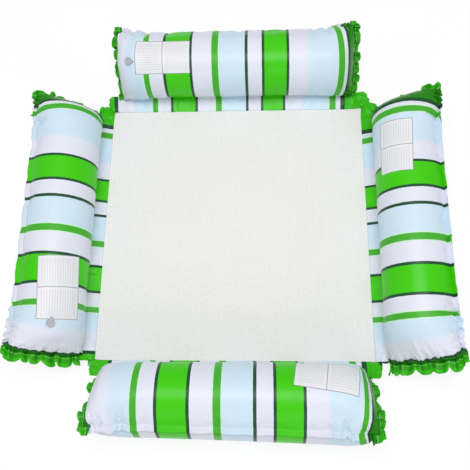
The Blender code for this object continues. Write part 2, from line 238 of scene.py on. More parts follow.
def mesh_object(name, points, faces, corner_uv, body):
    """A smooth piece that rides on a body, or on none when no body is given."""
    mesh = plain_mesh(name, points.tolist(), faces.tolist())
    layer = mesh.uv_layers.new(name="print")
    layer.data.foreach_set("uv", np.asarray(corner_uv, np.float32).ravel())
    mesh.shade_smooth()
    item = add_object(name, mesh)
    if body:
        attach(item, body)
    return item


def thicken(item, thickness):
    """Gives a sheet its thickness, half to each side."""
    film = item.modifiers.new("film", "SOLIDIFY")
    film.thickness = thickness
    film.offset = 0.0


# Pillow film before the air goes in

FINE = 0.0042
COARSE = 0.010
ENDS_LENGTH = 0.150
ACROSS_COUNT = 58
END_SPREAD = 0.005
RISE_POWER = 0.7

# Pleats pressed in at the end and side welds: half period, height and how far in they reach
END_PLEAT_PERIOD = 0.0115
END_PLEAT_HEIGHT = 0.0042
END_PLEAT_REACH = 0.016
END_PLEAT_GROWTH = 3
SIDE_PLEAT_PERIOD = 0.013
SIDE_PLEAT_HEIGHT = 0.0036
SIDE_PLEAT_REACH = 0.014
SIDE_PLEAT_LEAD = 0.05
SIDE_PLEAT_RAMP = 0.12
SIDE_PLEAT_END = 0.012


def flat_grid():
    """Places along and across the flat film, closer together near its ends."""
    ends = np.arange(0, ENDS_LENGTH, FINE)
    middle = FLAT_HALF - ends[-1]
    count = int(round(middle / COARSE))
    half = np.concatenate([np.linspace(0, middle, count + 1)[:-1], (FLAT_HALF - ends)[::-1]])
    along = np.concatenate([-half[:0:-1], half])
    return along, np.linspace(0, FLAT_WIDTH, ACROSS_COUNT + 1)


def start_shape(along, across, seed):
    """Both sheets a little pleated at their welds."""
    end_pleats = [wobble(across, END_PLEAT_PERIOD, seed + 31 + e)[0] for e in (0, 1)]
    side_pleats = [wobble(along, SIDE_PLEAT_PERIOD, seed + 51 + e)[0] for e in (0, 1)]
    s, t = np.meshgrid(along, across, indexing="ij")
    angle = math.pi * t / FLAT_WIDTH
    size = np.abs(s)
    on_dome = (size - TUBE_HALF) * END_DOME / (FLAT_HALF - TUBE_HALF)
    seam = np.where(size < TUBE_HALF, size, TUBE_HALF + on_dome)
    crown = np.interp(size, CROWN_PATH, CROWN_ALONG)
    rise = np.sin(angle)
    rise[:, [0, -1]] = 0
    blend = rise ** RISE_POWER
    place = seam * (1 - blend) + crown * blend
    half_height = np.interp(place, CROWN_ALONG, CROWN_HEIGHT)
    share = np.clip((place - TUBE_HALF) / END_DOME, 0, 1)
    half_width = RADIUS + END_SPREAD * share * share
    out = half_width * np.cos(angle)
    from_end = FLAT_HALF - size
    pleat = np.where(s > 0, end_pleats[1][None, :], end_pleats[0][None, :])
    pleat = END_PLEAT_HEIGHT * pleat * np.exp(-from_end / END_PLEAT_REACH)
    pleat = pleat * np.minimum(1, np.sin(angle) * END_PLEAT_GROWTH)
    ramp = np.clip((size - TUBE_HALF + SIDE_PLEAT_LEAD) / SIDE_PLEAT_RAMP, 0, 1)
    ramp = ramp * np.minimum(1, from_end / SIDE_PLEAT_END)
    for e, from_seam in ((0, t), (1, FLAT_WIDTH - t)):
        height = SIDE_PLEAT_HEIGHT * side_pleats[e][:, None] * ramp
        pleat = pleat + height * np.exp(-from_seam / SIDE_PLEAT_REACH)
    return [np.stack([np.sign(s) * place, out, sign * half_height * rise + pleat], -1) for sign in (1, -1)]


# Pillow film by simulation

SIM_FRAMES = 16
SPARE_FRAMES = 4
FARTHEST_MOVE = 0.028
START_NOISE = 0.0001

# How much longer than its weld the gathered film is, as a share of its length
MOST_SLACK = 0.6
END_SLACK = 0.34
END_SLACK_REACH = 0.020
MIDDLE_SIDE_SLACK = 0.008
END_SIDE_SLACK = 0.26
SIDE_SLACK_REACH = 0.018
SIDE_SLACK_LEAD = 0.04
SIDE_SLACK_RAMP = 0.10
SLACK_POWER = 1.5

CLOTH_SETTINGS = {
    "quality": 6,
    "mass": 0.0008,
    "tension_stiffness": 20,
    "compression_stiffness": 20,
    "shear_stiffness": 10,
    "bending_stiffness": 0.002,
    "tension_damping": 0.2,
    "compression_damping": 0.2,
    "shear_damping": 0.2,
    "bending_damping": 0.02,
    "air_damping": 1,
    "use_pressure": True,
    "uniform_pressure_force": 10,
    "vertex_group_shrink": "slack",
    "shrink_min": -MOST_SLACK,
    "shrink_max": 0.0,
    "vertex_group_mass": "held",
}


def shared_index(rows, columns):
    """Point numbers of the upper and lower sheet, which share their welded rim."""
    upper = np.arange(rows * columns).reshape(rows, columns)
    lower = upper.copy()
    inner = np.arange((rows - 2) * (columns - 2)).reshape(rows - 2, columns - 2)
    lower[1:-1, 1:-1] = rows * columns + inner
    return upper, lower


def shared_points(upper, lower):
    return np.concatenate([upper.reshape(-1, 3), lower[1:-1, 1:-1].reshape(-1, 3)])


def gathered(along, across):
    """The cloth's weights, from 0 where the film is most slack to 1 where it is plain."""
    s, t = np.meshgrid(along, across, indexing="ij")
    from_end = FLAT_HALF - np.abs(s)
    from_side = np.minimum(t, FLAT_WIDTH - t)
    ramp = np.clip((np.abs(s) - TUBE_HALF + SIDE_SLACK_LEAD) / SIDE_SLACK_RAMP, 0, 1)
    side_slack = MIDDLE_SIDE_SLACK + END_SIDE_SLACK * ramp
    slack = np.maximum(
        END_SLACK * np.exp(-(from_end / END_SLACK_REACH) ** SLACK_POWER),
        side_slack * np.exp(-(from_side / SIDE_SLACK_REACH) ** SLACK_POWER),
    )
    return 1 - np.minimum(MOST_SLACK, slack) / MOST_SLACK


def inflate(along, across, sheets, seed):
    """Blows the pillow up, with its film gathered at the welds, and returns both sheets."""
    rows, columns = len(along), len(across)
    upper_index, lower_index = shared_index(rows, columns)
    points = shared_points(*sheets)
    faces = np.concatenate([quad_corners(upper_index, True), quad_corners(lower_index)])
    random = np.random.default_rng(seed + 11)
    mesh = bpy.data.meshes.new("blown")
    mesh.from_pydata((points + random.normal(0, START_NOISE, points.shape)).tolist(), [], faces.tolist())
    blown = add_object("blown", mesh)
    weight = gathered(along, across)
    group = blown.vertex_groups.new(name="slack")
    held = blown.vertex_groups.new(name="held")
    for i in range(rows):
        for j in range(columns):
            for index in {int(upper_index[i, j]), int(lower_index[i, j])}:
                group.add([index], float(weight[i, j]), "REPLACE")
        held.add([int(upper_index[i, -1])], 1.0, "REPLACE")
    cloth = blown.modifiers.new("cloth", "CLOTH")
    for name, value in CLOTH_SETTINGS.items():
        setattr(cloth.settings, name, value)
    cloth.settings.effector_weights.gravity = 0
    cloth.collision_settings.use_self_collision = False
    cloth.point_cache.frame_start = 1
    cloth.point_cache.frame_end = SIM_FRAMES + SPARE_FRAMES
    for step in range(1, SIM_FRAMES + 1):
        bpy.context.scene.frame_set(step)
    shaped = blown.evaluated_get(bpy.context.evaluated_depsgraph_get())
    result = np.array([v.co[:] for v in shaped.data.vertices])
    bpy.context.scene.frame_set(1)
    bpy.data.objects.remove(blown, do_unlink=True)
    move = result - points
    far = np.linalg.norm(move, axis=1, keepdims=True)
    result = points + move * np.minimum(1, FARTHEST_MOVE / np.maximum(far, 1e-9))
    return result[upper_index], result[lower_index]


def refined(grid):
    """Doubles a grid's steps both ways: a new point is 9/16 of each neighbour less 1/16 of the next."""
    for _ in range(2):
        before = 2 * grid[:1] - grid[1:2]
        after = 2 * grid[-1:] - grid[-2:-1]
        padded = np.concatenate([before, grid, after])
        middle = (9 * (grid[:-1] + grid[1:]) - padded[:-3] - padded[3:]) / 16
        out = np.empty((2 * len(grid) - 1, *grid.shape[1:]))
        out[::2] = grid
        out[1::2] = middle
        grid = out.swapaxes(0, 1)
    return grid


# Pillows in their places

SEAT_RADIUS = 0.020
SEAT_FADE = 0.030
SEAT_DEPTH = 0.030
VALVE_HOLE = 0.0078
SEATED_SHARE = 0.5

# The ends are straightened from here out, with this share of their ripples kept
END_START = 0.245
RIPPLE_KEPT = 0.35
PULL_LIMIT = 1.1
PULL_POWER = 1.6
CORNER_EASE = 0.010
CORNER_LENGTH = 0.045

LEAN_OUT_REACH = 0.14
LEAN_UP_REACH = 0.12


def valve_frame(side):
    """The valve's place and axes, from the part's own joints."""
    z = Vector(JOINTS[side + "_stem_slide"]["axis"]).normalized()
    hinge = JOINTS[side + "_plug_hinge"]
    y = Vector(hinge["axis"]).normalized()
    x = y.cross(z).normalized()
    pivot = Vector(hinge["pos_m"])
    turn = Matrix((x, y, z)).transposed().to_4x4()
    turn.translation = pivot - x * PIVOT_OFFSET - z * (LIP_TOP + WELD_GAP / 2)
    return turn


def seat_on_valve(points, turn):
    """Brings the film to the valve's base, fading out around it."""
    inverse = np.array(turn.inverted())
    local = points @ inverse[:3, :3].T + inverse[:3, 3]
    radius = np.hypot(local[..., 0], local[..., 1])
    share = 1 - smooth((radius - SEAT_RADIUS) / SEAT_FADE)
    share = share * (np.abs(local[..., 2]) < SEAT_DEPTH)
    base = -radius ** 2 / (2 * RADIUS)
    local[..., 2] += share * (base - local[..., 2])
    matrix = np.array(turn)
    return local @ matrix[:3, :3].T + matrix[:3, 3], radius, share


def straighten_ends(sheets, side):
    """Brings each end seam to its place, with its ripples kept small."""
    for row, place in ((0, END_SEAMS[side][0]), (-1, END_SEAMS[side][1])):
        seam = np.abs(sheets[0][row, :, 0])
        corner = np.clip(1 - np.linspace(0, FLAT_WIDTH, len(seam)) / CORNER_LENGTH, 0, 1)
        goal = place + RIPPLE_KEPT * (seam - seam.mean()) - CORNER_EASE * corner ** 2
        sign = -1 if row == 0 else 1
        for sheet in sheets:
            s = sheet[..., 0] * sign
            share = np.clip((s - END_START) / (seam - END_START), 0, PULL_LIMIT)
            sheet[..., 0] += sign * (goal - seam) * share ** PULL_POWER


def lean(sheet, side):
    """Rolls the pillow a little over its skirt and lays it askew, with its fold held."""
    inward, outward, askew = LEANS[side]
    lift = sheet[..., 2] - SHEET_MIDDLE
    up = sheet[..., 1] * math.sin(ROLL) + lift * math.cos(ROLL)
    out = sheet[..., 1] * math.cos(ROLL) - lift * math.sin(ROLL)
    shift = (outward - askew * sheet[..., 0]) * np.clip(out / LEAN_OUT_REACH, 0, 1)
    shift = shift - inward * np.clip(up / LEAN_UP_REACH, 0, 1)
    sheet[..., 1] += shift * math.cos(ROLL)
    sheet[..., 2] -= shift * math.sin(ROLL)


def shaped_sheets(side, seed):
    """Flat places along and across the film, and both sheets of a pillow in its own axes."""
    along, across = flat_grid()
    upper, lower = inflate(along, across, start_shape(along, across, seed), seed)
    upper, lower = refined(upper), refined(lower)
    along = refined(np.repeat(along[:, None], 2, 1))[:, 0]
    across = refined(np.repeat(across[:, None], 2, 1))[:, 0]
    for sheet in (upper, lower):
        sheet[..., 1] += AXIS_FROM_FOLD
    straighten_ends((upper, lower), side)
    for sheet in (upper, lower):
        lean(sheet, side)
    return along, across, upper, lower


def pillow(side, seed):
    """One closed film piece, its outer flange and its two end frills."""
    along, across, upper, lower = shaped_sheets(side, seed)
    turn = valve_frame(side)
    pattern = (along if side in FORWARD_SIDES else -along) - PRINT_SHIFTS[side]
    prints = (across, across + LOWER_SHEET_V)
    placed, from_valve = [], []
    valve_uv = None
    for sheet, print_across in zip((upper, lower), prints):
        world, radius, share = seat_on_valve(tilted(sheet, side), turn)
        has_valve = share.max() > SEATED_SHARE
        if has_valve:
            i, j = np.unravel_index(np.argmin(radius), radius.shape)
            valve_uv = (pattern[i], print_across[j])
        world[..., 2] = np.maximum(world[..., 2], FILM / 2)
        placed.append(world)
        from_valve.append(radius if has_valve else None)
    points = shared_points(*placed)
    faces, uv = [], []
    indexes = shared_index(*upper.shape[:2])
    for index, print_across, radius, flipped in zip(indexes, prints, from_valve, (True, False)):
        flat = np.stack(np.meshgrid(pattern, print_across, indexing="ij"), -1)
        quads = quad_corners(index, flipped)
        corners = quad_corners(flat, flipped)
        if radius is not None:
            keep = quad_corners(radius, flipped).max(1) > VALVE_HOLE
            quads, corners = quads[keep], corners[keep]
        faces.append(quads)
        uv.append(corners)
    faces, uv = np.concatenate(faces), np.concatenate(uv)
    used, faces = np.unique(faces, return_inverse=True)
    faces = faces.reshape(-1, 4)
    film = mesh_object(side + "_pillow_film", points[used], faces, uv, side + "_pillow")
    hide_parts(side + "_upper_skin", side + "_lower_skin")
    first_line = float(pattern.min()) + WHITE_MARGINS[side]
    looks = film_material(side + "_film", first_line, LABELS[side], valve_uv)
    film.data.materials.append(looks)
    edges = flange(side, upper, along, pattern, looks, seed)
    for label, row in (("start", 0), ("end", -1)):
        frill(side, label, upper[row], across, edges[row], pattern[row], looks, seed)


# Outer flanges: flat width, and lean in degrees in the middle and at the ends

FLANGES = {
    "head": (0.012, -86.0, -50.0), "left": (0.010, -58.0, -45.0),
    "foot": (0.014, -72.0, -50.0), "right": (0.010, 20.0, 5.0),
}
FLANGE_ROWS = 6
FLANGE_END_START = 0.17
FLANGE_END_LENGTH = 0.14
LEAN_TURN_START = 0.35
LEAN_TURN_LENGTH = 0.65
PUCKER_PERIOD = 0.014
MIDDLE_PUCKER = 0.0003
END_PUCKER = 0.0040
WIDTH_PERIOD = 0.055
WIDTH_CHANGE = 0.03
FLANGE_TUCK = 0.0006
FLANGE_FAN = 0.004


def flange(side, upper, along, pattern, looks, seed):
    """The weld margin outside the outer seam, puckered towards the ends."""
    root = upper[:, 0]
    flat_width, middle_lean, end_lean = FLANGES[side]
    near_end = np.clip((np.abs(along) - FLANGE_END_START) / FLANGE_END_LENGTH, 0, 1)
    turn = smooth((near_end - LEAN_TURN_START) / LEAN_TURN_LENGTH)
    angle = np.radians(middle_lean + (end_lean - middle_lean) * turn)
    pucker = wobble(along, PUCKER_PERIOD, seed + 71)[0] * (MIDDLE_PUCKER + END_PUCKER * near_end)
    width = flat_width * (1 + WIDTH_CHANGE * wobble(along, WIDTH_PERIOD, seed + 73)[0])
    grid = np.empty((len(along), FLANGE_ROWS + 1, 3))
    uv = np.empty((len(along), FLANGE_ROWS + 1, 2))
    for q in range(FLANGE_ROWS + 1):
        share = q / FLANGE_ROWS
        reach = width * share - FLANGE_TUCK * (1 - share)
        grid[:, q, 0] = root[:, 0] + np.sign(along) * near_end ** 2 * FLANGE_FAN * share
        grid[:, q, 1] = root[:, 1] + reach * np.cos(angle)
        grid[:, q, 2] = root[:, 2] + reach * np.sin(angle) + pucker * share
        uv[:, q, 0] = pattern
        uv[:, q, 1] = -share * flat_width
    item = grid_object(side + "_outer_flange", tilted(grid, side), uv, side + "_pillow")
    thicken(item, 2 * FILM)
    item.data.materials.append(looks)
    return grid


# End frills: flat width at the start and at the end of each pillow

FRILL_WIDTHS = {
    "head": (0.015, 0.018), "left": (0.025, 0.017),
    "foot": (0.018, 0.019), "right": (0.017, 0.025),
}
FRILL_ROWS = 9
FRILL_STEPS = 260
FRILL_TUCK = 0.001
FRILL_PRINT = 0.352

# Big lobes with small waves on them, and less room for both beside the skirt
LOBE_PERIOD = 0.0440
LOBE_SPREAD = 0.6
LOBE_SIZES = (0.72, 1.18)
LOBE_COUNT = 40
LOBE_ROUNDNESS = 0.85
SMALL_PERIOD = 0.0210
SMALL_SPREAD = 0.5
SMALL_REACH = 0.05
LEAST_REACH = 0.50
LOBE_REACH = 0.46
REACH_POWER = 0.9
INNER_LENGTH = 0.030
INNER_ROOM = 0.88
ADDED_ROOM = 0.12
SWAY = 0.0030
FAN = 0.004
WAVE_HEIGHT = 0.0080
SMALL_HEIGHT = 0.0020
SMALL_POWER = 0.7
ROOT_FADE = 0.5


def frill(side, label, root, across, edge, pattern_end, looks, seed):
    """The gathered end of both sheets, whose free edge is longer than its weld."""
    end = -1 if label == "start" else 1
    width = FRILL_WIDTHS[side][0 if label == "start" else 1]
    count = seed + (0 if label == "start" else 7)
    corner = edge[::-1]
    flange_width = FLANGES[side][0]
    corner_flat = -np.linspace(flange_width, 0, len(corner))
    root = np.concatenate([corner[:-1], root])
    flat = np.concatenate([corner_flat[:-1], across])
    fine = np.linspace(flat[0], flat[-1], FRILL_STEPS)
    root = np.stack([np.interp(fine, flat, root[:, k]) for k in range(3)], -1)
    flat = fine
    wave, phase = wobble(flat, LOBE_PERIOD, count + 91, spread=LOBE_SPREAD)
    small = wobble(flat, SMALL_PERIOD, count + 95, spread=SMALL_SPREAD)[0]
    random = np.random.default_rng(count + 99)
    sizes = random.uniform(*LOBE_SIZES, LOBE_COUNT)
    lobes = np.interp(phase, np.arange(0, LOBE_COUNT) * math.pi, sizes)
    inner = np.clip((flat[-1] - flat) / INNER_LENGTH, 0, 1)
    room = INNER_ROOM + ADDED_ROOM * smooth(inner)
    bulge = np.abs(np.sin(phase)) ** LOBE_ROUNDNESS * (1 + SMALL_REACH * small)
    sway = SWAY * np.sin(2 * phase) + FAN * (0.5 - (flat - flat[0]) / FLAT_WIDTH)
    grid = np.empty((len(flat), FRILL_ROWS + 1, 3))
    uv = np.empty((len(flat), FRILL_ROWS + 1, 2))
    for q in range(FRILL_ROWS + 1):
        share = q / FRILL_ROWS
        spread = math.sin(share * math.pi / 2) ** REACH_POWER
        reach = width * (LEAST_REACH + LOBE_REACH * bulge * lobes) * room * spread
        reach = reach - FRILL_TUCK * (1 - share)
        height = WAVE_HEIGHT * wave * room * share + SMALL_HEIGHT * small * share ** SMALL_POWER
        grid[:, q, 0] = root[:, 0] + end * reach
        grid[:, q, 1] = root[:, 1] + share * sway
        grid[:, q, 2] = root[:, 2] * (1 - ROOT_FADE * share) + height
        uv[:, q, 0] = np.sign(pattern_end) * (FRILL_PRINT + share * width)
        uv[:, q, 1] = flat
    item = grid_object(f"{side}_{label}_ruffle", tilted(grid, side), uv, side + "_pillow")
    thicken(item, 2 * FILM)
    item.data.materials.append(looks)
    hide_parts(f"{side}_frill_{label}")


# Skirts: how much the print is stretched, and the loose tabs past the mesh's corners

SKIRT_STRETCH = 1.053
SKIRT_START_STRETCHES = {"head": 1.018, "left": 1.045, "foot": 1.053, "right": 1.053}
SKIRT_STEPS = 360
SKIRT_ROWS = 16
TAB_REACHES = {
    "head": (0.011, 0.019), "left": (0.001, 0.010),
    "foot": (0.010, 0.005), "right": (0.010, 0.004),
}
TAB_LIFTS = {"head": 0.0045, "left": 0.0, "foot": 0.0045, "right": 0.0}
TAB_ROOT = 0.001
TAB_START = 0.276
TAB_LENGTH = 0.022
TAB_POWER = 0.7
TAB_SWAY = 0.0015
PLEAT_HEIGHT = 0.0021
PLEATS_ACROSS = 2.1
PLEATS_ALONG = 22.0
PLEAT_SHARES = (0.35, 0.65)
SCALLOPS = 2.2
SCALLOP_SHARES = (0.74, 0.26)
LOBE_START = 0.05
LOBE_SHARE = 0.90

# Rucks in the loose film: period, and height in the middle and added towards the ends
CREASE_PERIOD = 0.050
CREASE_SPREAD = 0.5
CREASE_HEIGHTS = (0.0004, 0.0016)
RUCK_PERIOD = 0.030
RUCK_SPREAD = 0.6
RUCK_HEIGHTS = (0.0002, 0.0009)
LOOSE_START = 0.225
LOOSE_LENGTH = 0.085

UNDER_STEPS = 120
UNDER_ROWS = 4


def skirt_print(side, place):
    """Where places along the skirt lie along the print."""
    place = place * (1 if side in FORWARD_SIDES else -1)
    stretch = np.where(place < 0, SKIRT_START_STRETCHES[side], SKIRT_STRETCH)
    return place * stretch - PRINT_SHIFTS[side]


def skirt(side, looks, seed):
    """The film between the mesh and a pillow, which bends at the fold, with its loose end tabs."""
    along = np.linspace(-1, 1, SKIRT_STEPS + 1)
    small = wobble(along, RUCK_PERIOD, seed + 3, spread=RUCK_SPREAD)[0]
    crease = wobble(along, CREASE_PERIOD, seed + 5, spread=CREASE_SPREAD)[0]
    random = np.random.default_rng(seed + 9)
    folds = random.uniform(0, math.tau, 2)
    grid = np.empty((SKIRT_STEPS + 1, SKIRT_ROWS + 1, 3))
    uv = np.empty((SKIRT_STEPS + 1, SKIRT_ROWS + 1, 2))
    for q in range(SKIRT_ROWS + 1):
        share = q / SKIRT_ROWS
        distance = share * (SKIRT_WIDTH + INNER_MARGIN)
        on_skirt = min(distance, SKIRT_WIDTH)
        beyond = distance - on_skirt
        out = MESH_HALF + on_skirt * math.cos(SLOPE) - LAYER_PITCH * math.sin(SLOPE) + beyond * math.cos(ROLL)
        up = FOLD_HEIGHT - (SKIRT_WIDTH - on_skirt) * math.sin(SLOPE) + beyond * math.sin(ROLL)
        lobe = math.sin(math.pi * (LOBE_START + LOBE_SHARE * share)) ** TAB_POWER
        halves = []
        for reach, fold in zip(TAB_REACHES[side], folds):
            scallop = abs(math.sin(math.pi * share * SCALLOPS + fold))
            shaped = lobe * (SCALLOP_SHARES[0] + SCALLOP_SHARES[1] * scallop)
            halves.append(MESH_HALF + TAB_ROOT + reach * shaped)
        place = along * np.where(along < 0, *halves)
        near_end = np.clip((np.abs(place) - LOOSE_START) / LOOSE_LENGTH, 0, 1)
        loose = math.sin(math.pi * share) ** TAB_POWER if share < 1 else 0
        ruck = loose * (CREASE_HEIGHTS[0] + CREASE_HEIGHTS[1] * near_end) * (1 + crease)
        ruck = ruck + loose * (RUCK_HEIGHTS[0] + RUCK_HEIGHTS[1] * near_end) * (1 + small)
        tab = smooth((np.abs(place) - TAB_START) / TAB_LENGTH)
        fold_phase = np.where(place < 0, folds[0], folds[1])
        turns = share * PLEATS_ACROSS + np.abs(place) * PLEATS_ALONG
        pleats = PLEAT_HEIGHT * (1 + np.sin(math.tau * turns + fold_phase))
        ruck = ruck + tab * (TAB_LIFTS[side] + pleats * (PLEAT_SHARES[0] + PLEAT_SHARES[1] * loose))
        grid[:, q, 0] = place
        grid[:, q, 1] = out + tab * TAB_SWAY * np.sin(math.tau * share + fold_phase)
        grid[:, q, 2] = up + ruck
        uv[:, q, 0] = skirt_print(side, place)
        uv[:, q, 1] = FLAT_WIDTH + INNER_MARGIN + SKIRT_WIDTH * (1 - share)
    points = turned(grid, side)
    points[..., 2] = np.maximum(points[..., 2], FILM)
    item = grid_object(side + "_skirt_film", points, uv, None)
    thicken(item, FILM)
    item.data.materials.append(looks)
    fold = turned(np.array([0.0, FOLD_U, FOLD_HEIGHT]), side)
    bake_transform(item)
    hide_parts(side + "_upper_skirt")


def under_skirt(side, looks):
    """The narrow film strip welded under the mesh's edge."""
    along = np.linspace(-1, 1, UNDER_STEPS + 1)
    grid = np.empty((UNDER_STEPS + 1, UNDER_ROWS + 1, 3))
    uv = np.empty((UNDER_STEPS + 1, UNDER_ROWS + 1, 2))
    forward = 1 if side in FORWARD_SIDES else -1
    for q in range(UNDER_ROWS + 1):
        distance = UNDER_SKIRT_WIDTH * q / UNDER_ROWS
        out = MESH_HALF + distance * math.cos(SLOPE) + LAYER_PITCH * math.sin(SLOPE)
        up = FOLD_HEIGHT - (SKIRT_WIDTH - distance) * math.sin(SLOPE) - 2 * LAYER_PITCH * math.cos(SLOPE)
        grid[:, q, 0] = along * (out - MITRE_GAP)
        grid[:, q, 1] = out
        grid[:, q, 2] = up
        uv[:, q, 0] = grid[:, q, 0] * SKIRT_STRETCH * forward - PRINT_SHIFTS[side]
        uv[:, q, 1] = distance + LOWER_SHEET_V
    item = grid_object(side + "_under_skirt", turned(grid, side), uv, "seat")
    thicken(item, FILM)
    item.data.materials.append(looks)
    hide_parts(side + "_lower_skirt")


# Mesh

MESH_STEPS = 120
CORNER_LIFT = 0.25
RIPPLE_HEIGHT = 0.0007
RIPPLE_FADE = 0.03

# Broad ripples along x and y, each in radians per metre with its start, and finer ones askew
BROAD_RIPPLES = ((31, 1.3), (27, 0.4))
FINE_RIPPLES = (57, 19)
FINE_SHARE = 0.6


def ripples(x, y):
    """Uneven waves over the mesh, about as high as 1."""
    (x_turns, x_start), (y_turns, y_start) = BROAD_RIPPLES
    broad = np.sin(x * x_turns + x_start) * np.sin(y * y_turns + y_start)
    return broad + FINE_SHARE * np.sin(x * FINE_RIPPLES[0] + y * FINE_RIPPLES[1])


def mesh_cloth():
    """The knitted seat, flat on the floor in its middle and raised to its welded edge."""
    low = MESH_THICKNESS / 2
    edge_height = FOLD_HEIGHT - SKIRT_WIDTH * math.sin(SLOPE) - LAYER_PITCH * math.cos(SLOPE)
    half = MESH_HALF + MESH_MARGIN * math.cos(SLOPE)
    line = np.linspace(-half, half, MESH_STEPS + 1)
    x, y = np.meshgrid(line, line, indexing="ij")

    def rise(v):
        inside = np.clip((np.abs(v) - MESH_REST) / (MESH_HALF - MESH_REST), 0, 1) ** 2
        return inside + np.maximum(0, np.abs(v) - MESH_HALF) * math.tan(SLOPE) / (edge_height - low)

    a, b = rise(x), rise(y)
    both = CORNER_LIFT * np.minimum(a, b)
    lift = np.maximum(a, b) + both * (1 - np.maximum(np.minimum(a, 1), np.minimum(b, 1)))
    wave = RIPPLE_HEIGHT * ripples(x, y) * np.clip(lift, 0, 1)
    from_edge = MESH_HALF - np.maximum(abs(x), abs(y))
    z = low + (edge_height - low) * lift + wave * np.clip(from_edge / RIPPLE_FADE, 0, 1)
    grid = np.stack([x, y, np.maximum(z, low)], -1)
    item = grid_object("mesh_cloth", grid, np.stack([x, y], -1), "seat")
    thicken(item, MESH_THICKNESS)
    item.data.materials.append(net_material())
    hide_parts("mesh_panel")


# Valves

TURN_STEPS = 56
SHARP_ANGLE = math.radians(38)
BORE_RADIUS = 0.0043
TUBE_RADIUS = 0.0060
LIP_RADIUS = 0.0080
RIM_RADIUS = 0.0066
RIM_HEIGHT = 0.0010
EDGE_RADIUS = 0.00035
EDGE_STEPS = 3
MOST_OF_SIDE = 2.5
STRAP_START = 0.0060
STRAP_HALF = 0.0025
STRAP_CORNER = 0.0008
STRAP_TIP_SHARE = 0.6
STRAP_INSET = 0.0001
PLUG_STRAP_TOP = 0.0010

# The plug's radius and height above the lip, from the tip of its stopper to its domed top
CAP_PROFILE = (
    (0.0001, -0.0040), (0.0030, -0.0040), (0.0037, -0.0034), (0.0040, 0.0), (0.0082, 0.0),
    (0.0085, 0.0003), (0.0085, 0.0010), (0.0081, 0.0014), (0.0066, 0.0014),
    (0.0062, 0.0011), (0.0030, 0.0011), (0.0026, 0.0014), (0.0001, 0.0014),
)


def lathe(profile, name, turn, body, closed_ends=False):
    """A turned piece from radius and height pairs about the valve's axis."""
    count = len(profile)
    points, faces = [], []
    for k in range(TURN_STEPS):
        angle = math.tau * k / TURN_STEPS
        for radius, height in profile:
            points.append(turn @ Vector((radius * math.cos(angle), radius * math.sin(angle), height)))
    links = count - 1 if closed_ends else count
    for k in range(TURN_STEPS):
        here, there = k * count, (k + 1) % TURN_STEPS * count
        for m in range(links):
            n = (m + 1) % count
            faces.append((here + m, there + m, there + n, here + n))
    if closed_ends:
        faces.append([k * count for k in range(TURN_STEPS)][::-1])
        faces.append([k * count + count - 1 for k in range(TURN_STEPS)])
    mesh = plain_mesh(name, points, faces)
    mesh.shade_smooth()
    mesh.set_sharp_from_angle(angle=SHARP_ANGLE)
    item = add_object(name, mesh)
    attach(item, body)
    return item


def rounded(corners):
    """A closed outline with its corners eased."""
    out = []
    count = len(corners)
    for k in range(count):
        before, here, after = (Vector(corners[(k + d) % count]) for d in (-1, 0, 1))
        a = before - here
        b = after - here
        cut = min(EDGE_RADIUS, a.length / MOST_OF_SIDE, b.length / MOST_OF_SIDE)
        first, last = here + a.normalized() * cut, here + b.normalized() * cut
        for m in range(EDGE_STEPS):
            f = m / (EDGE_STEPS - 1)
            out.append(tuple((1 - f) ** 2 * first + 2 * f * (1 - f) * here + f * f * last))
    return out


def strap(name, turn, low, high, body):
    """The flat strap between a round head and its hinge, with eased corners."""
    far, half = PIVOT_OFFSET, STRAP_HALF
    tip = half * STRAP_TIP_SHARE
    outline = [(STRAP_START, -half), (far - STRAP_CORNER, -half), (far, -tip)]
    outline += [(x, -y) for x, y in outline[::-1]]
    points = [turn @ Vector((x, y, z)) for z in (low, high) for x, y in outline]
    n = len(outline)
    faces = [list(range(n))[::-1], [n + k for k in range(n)]]
    faces += [[k, (k + 1) % n, n + (k + 1) % n, n + k] for k in range(n)]
    item = add_object(name, plain_mesh(name, points, faces))
    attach(item, body)
    return item


def valve(side, looks):
    """The stem's tube and the plug, each with its strap, and the looks of what stays from the frame."""
    turn = valve_frame(side)
    stem = [
        (BORE_RADIUS, LIP_TOP), (LIP_RADIUS, LIP_TOP), (LIP_RADIUS, LIP_BOTTOM), (TUBE_RADIUS, LIP_BOTTOM),
        (TUBE_RADIUS, STEM_BOTTOM + RIM_HEIGHT), (RIM_RADIUS, STEM_BOTTOM + RIM_HEIGHT),
        (RIM_RADIUS, STEM_BOTTOM), (BORE_RADIUS, STEM_BOTTOM),
    ]
    head = LIP_TOP + WELD_GAP
    cap = [(radius, head + height) for radius, height in CAP_PROFILE]
    tube = lathe(rounded(stem), side + "_stem_tube", turn, side + "_stem")
    low, high = LIP_BOTTOM + STRAP_INSET, LIP_TOP - STRAP_INSET
    ear = strap(side + "_stem_strap", turn, low, high, side + "_stem")
    plug = lathe(cap, side + "_plug_cap", turn, side + "_plug", closed_ends=True)
    low, high = head + STRAP_INSET, head + PLUG_STRAP_TOP
    tongue = strap(side + "_plug_strap", turn, low, high, side + "_plug")
    for item in (tube, ear, plug, tongue):
        item.data.materials.append(looks)
    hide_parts(side + "_valve_stem")
    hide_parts(side + "_valve_plug")
    for node in (side + "_valve_base", side + "_check_flap"):
        mesh = frame["nodes"][node].data
        mesh.materials.clear()
        mesh.materials.append(looks)


# Materials

